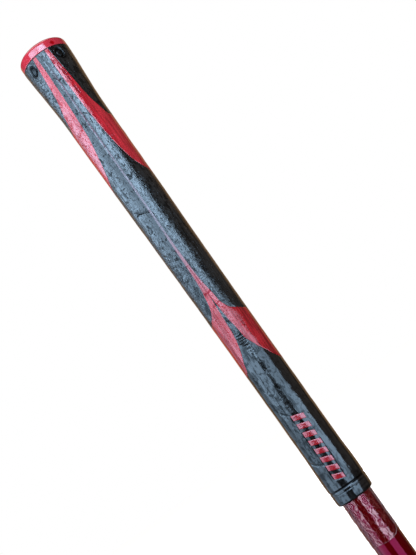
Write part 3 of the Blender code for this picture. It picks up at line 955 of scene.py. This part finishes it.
def red_elastomer():
    """Red rubber: streaked, with painted shade that darkens it and its reflection lower down, faded to
    grey on the stem, and painted shade in its dents, pits, cracks and along its edge.
    """
    nodes = Nodes("red_elastomer_worn")
    rise, rough, marks, _ = worn_skin(nodes, 0.45)
    streaks = rub_streaks(nodes)
    height = nodes.axis_mm("Z", MOUTH_Z)
    dent_shade = nodes.remap(nodes.attribute("dent_shade"), 0.01, 0.08)
    # Painted shade along the flame's edge, where it dips to meet the sleeve.
    edge_shade = nodes.remap(nodes.attribute("inside"), 0.05, 0.4, 0.4, 0.0)
    light = nodes.remap(streaks, 0.35, 0.65)
    # Painted shade: the lower flame's red is darker than the upper's, as shade that deepens towards the
    # mouth.
    lower = nodes.mix(light, (0.14, 0.003, 0.004), (0.27, 0.006, 0.009))
    upper = nodes.mix(light, (0.22, 0.005, 0.008), (0.34, 0.01, 0.014))
    base = nodes.mix(nodes.remap(height, 120.0, 170.0), lower, upper)
    faded = nodes.remap(height, 105.0, 158.0, 0.0, 0.92)
    stem = nodes.math("MULTIPLY", faded, nodes.attribute("stem"))
    base = nodes.mix(stem, base, (0.07, 0.058, 0.064))
    # Painted shade: pits, cracks, gouges and the flame's edge are mixed towards dark red, except on the
    # stem.
    dark = nodes.math("MAXIMUM", nodes.math("MULTIPLY", marks, 0.6), dent_shade)
    dark = nodes.math("MAXIMUM", dark, edge_shade)
    dark = nodes.math("MULTIPLY", dark, nodes.math("SUBTRACT", 1.0, stem))
    colour = nodes.mix(dark, base, (0.15, 0.001, 0.005))
    dull_and_shade = nodes.remap(streaks, 0.4, 0.62, 0.3, 0.0)
    # Painted shade: the reflection is taken out more lower down.
    dull_and_shade = nodes.math("MULTIPLY", dull_and_shade, nodes.remap(height, 100.0, 140.0, 1.0, 0.4))
    dull_and_shade = nodes.math("MAXIMUM", dull_and_shade, nodes.math("MULTIPLY", dent_shade, 0.65))
    nodes.bump(nodes.math("MULTIPLY_ADD", dent_shade, -0.5, rise), 0.1)
    nodes.set(Base_Color=colour, Roughness=nodes.math("MULTIPLY_ADD", dent_shade, 0.3, rough))
    nodes.set(Metallic=dull_and_shade, IOR=1.5)
    return nodes.material


def emblem_paint():
    """Glossy dark red paint, which reflects pink, with small worn spots."""
    nodes = Nodes("emblem_paint")
    grain = nodes.noise(0.6, detail=3.0)
    wear = nodes.remap(nodes.noise(1.6, detail=3.0), 0.6, 0.7)
    base = nodes.mix(grain, (0.13, 0.003, 0.005), (0.2, 0.005, 0.008))
    colour = nodes.mix(wear, base, (0.07, 0.003, 0.004))
    nodes.bump(grain, 0.05)
    nodes.set(Base_Color=colour, Roughness=nodes.remap(grain, 0.3, 0.7, 0.07, 0.14))
    nodes.set(IOR=1.85, Specular_Tint=(1.0, 0.62, 0.64))
    return nodes.material


def cap_plastic():
    """Hard glossy red plastic with light scuffs and a deeper red gate mark."""
    nodes = Nodes("cap_plastic")
    grain = nodes.noise(0.35)
    cloud = nodes.noise(4.0)
    base = nodes.mix(cloud, (0.3, 0.012, 0.018), (0.38, 0.018, 0.026))
    gate = nodes.attribute("gate")
    colour = nodes.mix(gate, base, (0.42, 0.0, 0.004))
    scuffs = nodes.remap(nodes.noise(1.2, detail=4.0, along=2.5), 0.6, 0.72)
    rough = nodes.math("MULTIPLY_ADD", scuffs, 0.1, 0.09)
    nodes.bump(nodes.math("MULTIPLY_ADD", scuffs, -0.3, grain), 0.012)
    nodes.set(Base_Color=colour, Roughness=rough)
    nodes.set(Metallic=nodes.math("MULTIPLY", gate, 0.55), IOR=1.6)
    return nodes.material


def shaft_lacquer():
    """Deep red lacquer with a fine flake, and bare metal at the cut end."""
    nodes = Nodes("shaft_lacquer")
    flake = nodes.noise(0.3, detail=1.0)
    drift = nodes.noise(6.0, along=0.15)
    lacquer = nodes.mix(drift, (0.035, 0.0001, 0.0004), (0.05, 0.0002, 0.0006))
    colour = nodes.mix(nodes.attribute("bare"), lacquer, (0.04, 0.04, 0.045))
    nodes.bump(nodes.math("MULTIPLY_ADD", flake, 0.2, drift), 0.03)
    nodes.set(Base_Color=colour, Roughness=nodes.remap(flake, 0.3, 0.7, 0.06, 0.1))
    nodes.set(IOR=1.6, Specular_Tint=(0.95, 0.06, 0.2))
    return nodes.material


def tape_film():
    """Clear film that shows the lacquer below, and less of it where it has lifted."""
    nodes = Nodes("tape_film")
    crinkle = nodes.cells(2.6, along=0.6, wobble=2.4)
    folds = nodes.remap(crinkle, 0.0, 0.12, 1.0, 0.0)
    cloud = nodes.noise(1.6, detail=3.0, distortion=1.2, along=0.55)
    cloud = nodes.math("SUBTRACT", cloud, nodes.remap(nodes.axis_mm("X"), -4.0, 0.0, 0.025, 0.0))
    lifted = nodes.remap(cloud, 0.48, 0.56)
    rise = nodes.math("MULTIPLY_ADD", folds, 0.4, cloud)
    edge_strength = nodes.remap(nodes.axis_mm("X"), 1.0, 5.0, 0.25, 0.9)
    edge = nodes.math("MULTIPLY", nodes.attribute("edge"), edge_strength)
    colour = nodes.mix(lifted, (0.06, 0.0003, 0.0008), (0.07, 0.002, 0.003))
    colour = nodes.mix(edge, colour, (0.24, 0.13, 0.12))
    nodes.bump(rise, 0.045)
    nodes.set(Base_Color=colour, Roughness=nodes.remap(cloud, 0.3, 0.7, 0.1, 0.06))
    nodes.set(Alpha=nodes.math("MAXIMUM", nodes.remap(lifted, 0.0, 1.0, 0.06, 0.8), edge))
    nodes.set(IOR=1.8, Specular_IOR_Level=1.0, Specular_Tint=(1.0, 0.5, 0.47))
    return nodes.material


def add_piece(piece, material, slot, *nodes_replaced):
    """Gives a finished piece its material and its body, and hides the nodes that it replaces. The slot
    is not used.
    """
    piece.data.materials.append(material)
    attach(piece, "root")
    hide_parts(*nodes_replaced)


def build_object():
    black, red = black_elastomer(), red_elastomer()
    upper, lower = make_upper_flame(), make_lower_flame()
    add_piece(upper[0], red, "red_elastomer", "upper_flame")
    add_piece(lower[0], red, "red_elastomer", "lower_flame")
    add_piece(make_sleeve((upper, lower)), black, "black_elastomer", "grip_sleeve")
    paint = emblem_paint()
    for number in range(EMBLEM_BARS):
        add_piece(make_bar(number), paint, "emblem_paint", f"emblem_bar_{number + 1}")
    add_piece(make_cap(), cap_plastic(), "cap_plastic", "end_cap")
    add_piece(make_shaft(), shaft_lacquer(), "shaft_lacquer", "shaft_butt")
    add_piece(make_tape(), tape_film(), "tape_film", "grip_tape")


def look_along(forward, roll):
    """Rotation of a camera or light that looks along a direction, turned by a roll."""
    forward = Vector(forward).normalized()
    right = forward.cross(Vector((0.0, 0.0, 1.0))).normalized()
    up = right.cross(forward)
    rolled_right = right * math.cos(roll) + up * math.sin(roll)
    rolled_up = up * math.cos(roll) - right * math.sin(roll)
    return Matrix((rolled_right, rolled_up, -forward)).transposed()


def add_camera():
    """A view of the front from a little below the middle, looking up and rolled to the left."""
    data = bpy.data.cameras.new("camera")
    data.sensor_width = 36.0
    data.lens = CAMERA_LENS
    data.clip_start = 0.01
    camera = bpy.data.objects.new("camera", data)
    forward = (
        math.sin(CAMERA_YAW) * math.cos(CAMERA_TILT),
        math.cos(CAMERA_YAW) * math.cos(CAMERA_TILT),
        math.sin(CAMERA_TILT),
    )
    camera.matrix_world = look_along(forward, CAMERA_ROLL).to_4x4()
    camera.location = (0.0, -CAMERA_DISTANCE, CAMERA_HEIGHT)
    bpy.context.scene.collection.objects.link(camera)
    bpy.context.scene.camera = camera


def add_panel(
    name, start, end, low, high, brightness, distance=WINDOW_DISTANCE, colour=WINDOW_COLOUR,
):
    """A soft upright light between two azimuths, in degrees from the front towards +X."""
    middle, half = math.radians((start + end) / 2), math.radians((end - start) / 2)
    data = bpy.data.lights.new(name, "AREA")
    data.shape = "RECTANGLE"
    data.size = 2 * distance * math.tan(half)
    data.size_y = high - low
    data.color = colour
    data.energy = brightness * math.pi * data.size * data.size_y
    light = bpy.data.objects.new(name, data)
    outward = Vector((math.sin(middle), -math.cos(middle), 0.0))
    light.matrix_world = look_along(-outward, 0.0).to_4x4()
    light.location = outward * distance + Vector((0.0, 0.0, (low + high) / 2))
    bpy.context.scene.collection.objects.link(light)


def add_overhead():
    data = bpy.data.lights.new("overhead", "AREA")
    data.shape = "SQUARE"
    data.size = OVERHEAD_SIZE
    data.color = OVERHEAD_COLOUR
    data.energy = OVERHEAD_BRIGHTNESS * math.pi * data.size ** 2
    light = bpy.data.objects.new("overhead", data)
    light.location = OVERHEAD_PLACE
    bpy.context.scene.collection.objects.link(light)


def set_world():
    """White to the camera, and a dim warm room to everything else."""
    world = bpy.data.worlds.new("studio")
    bpy.context.scene.world = world
    world.use_nodes = True
    tree = world.node_tree
    tree.nodes.clear()
    output = tree.nodes.new("ShaderNodeOutputWorld")
    seen, room = tree.nodes.new("ShaderNodeBackground"), tree.nodes.new("ShaderNodeBackground")
    seen.inputs["Color"].default_value = (1.0, 1.0, 1.0, 1.0)
    room.inputs["Color"].default_value = (*ROOM_COLOUR, 1.0)
    path = tree.nodes.new("ShaderNodeLightPath")
    mix = tree.nodes.new("ShaderNodeMixShader")
    tree.links.new(path.outputs["Is Camera Ray"], mix.inputs["Fac"])
    tree.links.new(room.outputs["Background"], mix.inputs[1])
    tree.links.new(seen.outputs["Background"], mix.inputs[2])
    tree.links.new(mix.outputs["Shader"], output.inputs["Surface"])


def add_floor():
    mesh = bpy.data.meshes.new("floor")
    half = FLOOR_HALF_SIZE
    corners = [(-half, -half, 0.0), (half, -half, 0.0), (half, half, 0.0), (-half, half, 0.0)]
    mesh.from_pydata(corners, [], [(0, 1, 2, 3)])
    floor = bpy.data.objects.new("floor", mesh)
    floor.location.z = CAD_BOUNDS[0][2] - FLOOR_GAP
    floor.visible_glossy = False
    floor.visible_diffuse = False
    floor.visible_shadow = False
    bpy.context.scene.collection.objects.link(floor)
    nodes = Nodes("pale_floor")
    nodes.set(Base_Color=(0.6, 0.6, 0.6), Roughness=0.8, Specular_IOR_Level=0.0)
    nodes.set(Emission_Color=(1.0, 1.0, 1.0), Emission_Strength=FLOOR_GLOW)
    mesh.materials.append(nodes.material)


bpy.context.scene.view_settings.view_transform = "Standard"
add_camera()
set_world()
add_floor()
for panel in PANELS:
    add_panel(*panel)
add_overhead()
build_object()
